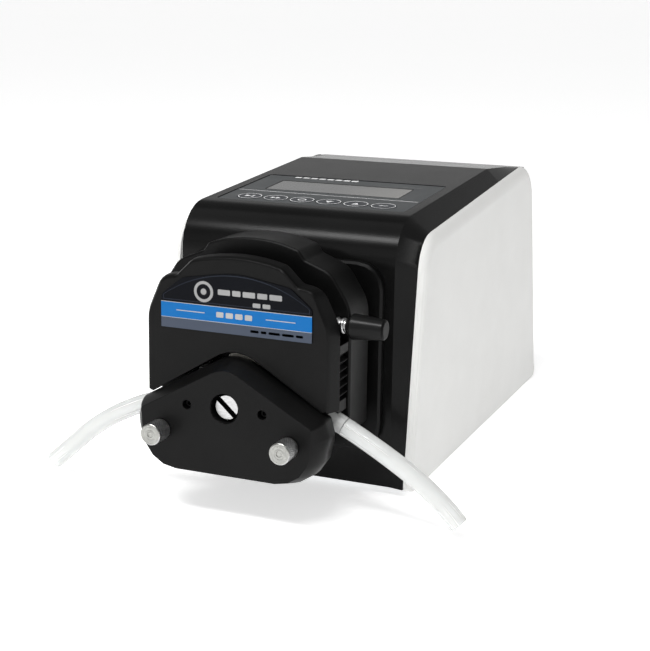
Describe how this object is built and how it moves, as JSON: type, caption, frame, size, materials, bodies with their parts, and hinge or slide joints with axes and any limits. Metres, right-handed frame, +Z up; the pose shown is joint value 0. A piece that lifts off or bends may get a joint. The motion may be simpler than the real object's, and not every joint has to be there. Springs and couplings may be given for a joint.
{
  "type": "peristaltic pump",
  "caption": "Bench-top peristaltic pump with a keypad on its sloping top and a roller head whose upper block is lifted by a lever.",
  "frame": {"origin": "on the floor below the middle of the pump's footprint, without its loose tubes", "axes": "+Z up; -Y is the front, where the pump head is; +X is to the right of someone who faces the head"},
  "size_m": [0.2408, 0.3444, 0.1576],
  "materials": {
    "gloss_black": "black moulding with a satin gloss",
    "matte_black": "fine-textured black moulding",
    "white_panel": "white moulding with a satin gloss",
    "stainless": "turned stainless steel",
    "dark_steel": "blued steel",
    "zinc_sheet": "zinc-plated sheet",
    "black_rubber": "matte rubber",
    "keypad_film": "printed polyester film",
    "key_film": "raised keys with white outlines",
    "display_glass": "tinted window over a grey-green display",
    "circuit_board": "green board",
    "nylon": "natural nylon",
    "head_label": "blue and grey printed label",
    "silicone_tube": "translucent milky silicone"
  },
  "bodies": {
    "drive": {"front_shell": "gloss_black", "left_panel": "white_panel", "right_panel": "white_panel", "base_plate": "zinc_sheet", "foot_front_left": "black_rubber", "foot_front_right": "black_rubber", "foot_rear_left": "black_rubber", "foot_rear_right": "black_rubber", "keypad_film": "keypad_film", "display_window": "display_glass", "display_board": "circuit_board", "motor_bracket": "zinc_sheet", "motor": "dark_steel", "control_board": "circuit_board", "power_supply": "zinc_sheet", "rear_panel": "matte_black", "mains_inlet": "matte_black", "switch_bezel": "matte_black", "signal_socket": "zinc_sheet", "fan_frame": "matte_black", "mounting_boss": "matte_black", "head_back_plate": "matte_black", "lower_housing": "matte_black", "lower_front_plate": "matte_black", "front_bearing": "stainless", "rear_bearing": "stainless", "guide_pin_left": "stainless", "guide_pin_right": "stainless", "tube_in_head": "silicone_tube", "tube_right": "silicone_tube", "tube_left": "silicone_tube"},
    "rotor": {"rotor_shaft": "stainless", "rotor_front_disc": "dark_steel", "rotor_rear_disc": "dark_steel", "roller_pin_1": "stainless", "roller_pin_2": "stainless", "roller_pin_3": "stainless", "drive_coupling": "stainless"},
    "roller_1": {"roller_1": "nylon"},
    "roller_2": {"roller_2": "nylon"},
    "roller_3": {"roller_3": "nylon"},
    "upper_block": {"upper_front_cover": "matte_black", "upper_rear_plate": "matte_black", "occlusion_bed": "matte_black", "head_label": "head_label"},
    "lever": {"lever_rod": "stainless", "lever_knob": "matte_black"},
    "clamp_left": {"tube_clamp_left": "matte_black"},
    "clamp_right": {"tube_clamp_right": "matte_black"},
    "screw_left": {"thumbscrew_left": "stainless"},
    "screw_right": {"thumbscrew_right": "stainless"},
    "key_1": {"key_1": "key_film"},
    "key_2": {"key_2": "key_film"},
    "key_3": {"key_3": "key_film"},
    "key_4": {"key_4": "key_film"},
    "key_5": {"key_5": "key_film"},
    "key_6": {"key_6": "key_film"},
    "rocker": {"power_switch": "gloss_black"},
    "fan": {"fan_rotor": "matte_black"}
  },
  "joints": [
    {"name": "rotor_turn", "type": "hinge", "parent": "drive", "child": "rotor", "pos_m": [0, -0.1334, 0.0607], "axis": [0, 1, 0], "continuous": true},
    {"name": "roller_1_turn", "type": "hinge", "parent": "rotor", "child": "roller_1", "pos_m": [0, -0.1334, 0.0767], "axis": [0, 1, 0], "continuous": true},
    {"name": "roller_2_turn", "type": "hinge", "parent": "rotor", "child": "roller_2", "pos_m": [-0.01386, -0.1334, 0.0527], "axis": [0, 1, 0], "continuous": true},
    {"name": "roller_3_turn", "type": "hinge", "parent": "rotor", "child": "roller_3", "pos_m": [0.01386, -0.1334, 0.0527], "axis": [0, 1, 0], "continuous": true},
    {"name": "block_lift", "type": "slide", "parent": "drive", "child": "upper_block", "axis": [0, 0, 1], "range_m": [0, 0.014]},
    {"name": "lever_swing", "type": "hinge", "parent": "upper_block", "child": "lever", "pos_m": [0, -0.1334, 0.1032], "axis": [0, -1, 0], "range_deg": [0, 180]},
    {"name": "clamp_left_slide", "type": "slide", "parent": "upper_block", "child": "clamp_left", "axis": [0, 0, 1], "range_m": [0, 0.005]},
    {"name": "clamp_right_slide", "type": "slide", "parent": "upper_block", "child": "clamp_right", "axis": [0, 0, 1], "range_m": [0, 0.005]},
    {"name": "screw_left_turn", "type": "hinge", "parent": "drive", "child": "screw_left", "pos_m": [-0.0356, -0.16635, 0.0458], "axis": [0, 1, 0], "continuous": true},
    {"name": "screw_right_turn", "type": "hinge", "parent": "drive", "child": "screw_right", "pos_m": [0.0356, -0.16635, 0.0458], "axis": [0, 1, 0], "continuous": true},
    {"name": "key_1_press", "type": "slide", "parent": "drive", "child": "key_1", "axis": [0, 0.0628, -0.998], "range_m": [0, 0.0004], "stiffness_N_per_m": 1000, "springref_m": -0.0003},
    {"name": "key_2_press", "type": "slide", "parent": "drive", "child": "key_2", "axis": [0, 0.0628, -0.998], "range_m": [0, 0.0004], "stiffness_N_per_m": 1000, "springref_m": -0.0003},
    {"name": "key_3_press", "type": "slide", "parent": "drive", "child": "key_3", "axis": [0, 0.0628, -0.998], "range_m": [0, 0.0004], "stiffness_N_per_m": 1000, "springref_m": -0.0003},
    {"name": "key_4_press", "type": "slide", "parent": "drive", "child": "key_4", "axis": [0, 0.0628, -0.998], "range_m": [0, 0.0004], "stiffness_N_per_m": 1000, "springref_m": -0.0003},
    {"name": "key_5_press", "type": "slide", "parent": "drive", "child": "key_5", "axis": [0, 0.0628, -0.998], "range_m": [0, 0.0004], "stiffness_N_per_m": 1000, "springref_m": -0.0003},
    {"name": "key_6_press", "type": "slide", "parent": "drive", "child": "key_6", "axis": [0, 0.0628, -0.998], "range_m": [0, 0.0004], "stiffness_N_per_m": 1000, "springref_m": -0.0003},
    {"name": "power_switch_rock", "type": "hinge", "parent": "drive", "child": "rocker", "pos_m": [-0.034, 0.15237, 0.07044], "axis": [-1, 0, 0], "range_deg": [0, 16]},
    {"name": "fan_turn", "type": "hinge", "parent": "drive", "child": "fan", "pos_m": [0.026, 0.13807, 0.09799], "axis": [0, 0.9763, 0.2164], "continuous": true}
  ],
  "couplings": [
    {"joint": "roller_1_turn", "follows": "rotor_turn", "ratio": -2.6},
    {"joint": "roller_2_turn", "follows": "rotor_turn", "ratio": -2.6},
    {"joint": "roller_3_turn", "follows": "rotor_turn", "ratio": -2.6},
    {"joint": "lever_swing", "follows": "block_lift", "rad_per_m": 224.39}
  ]
}
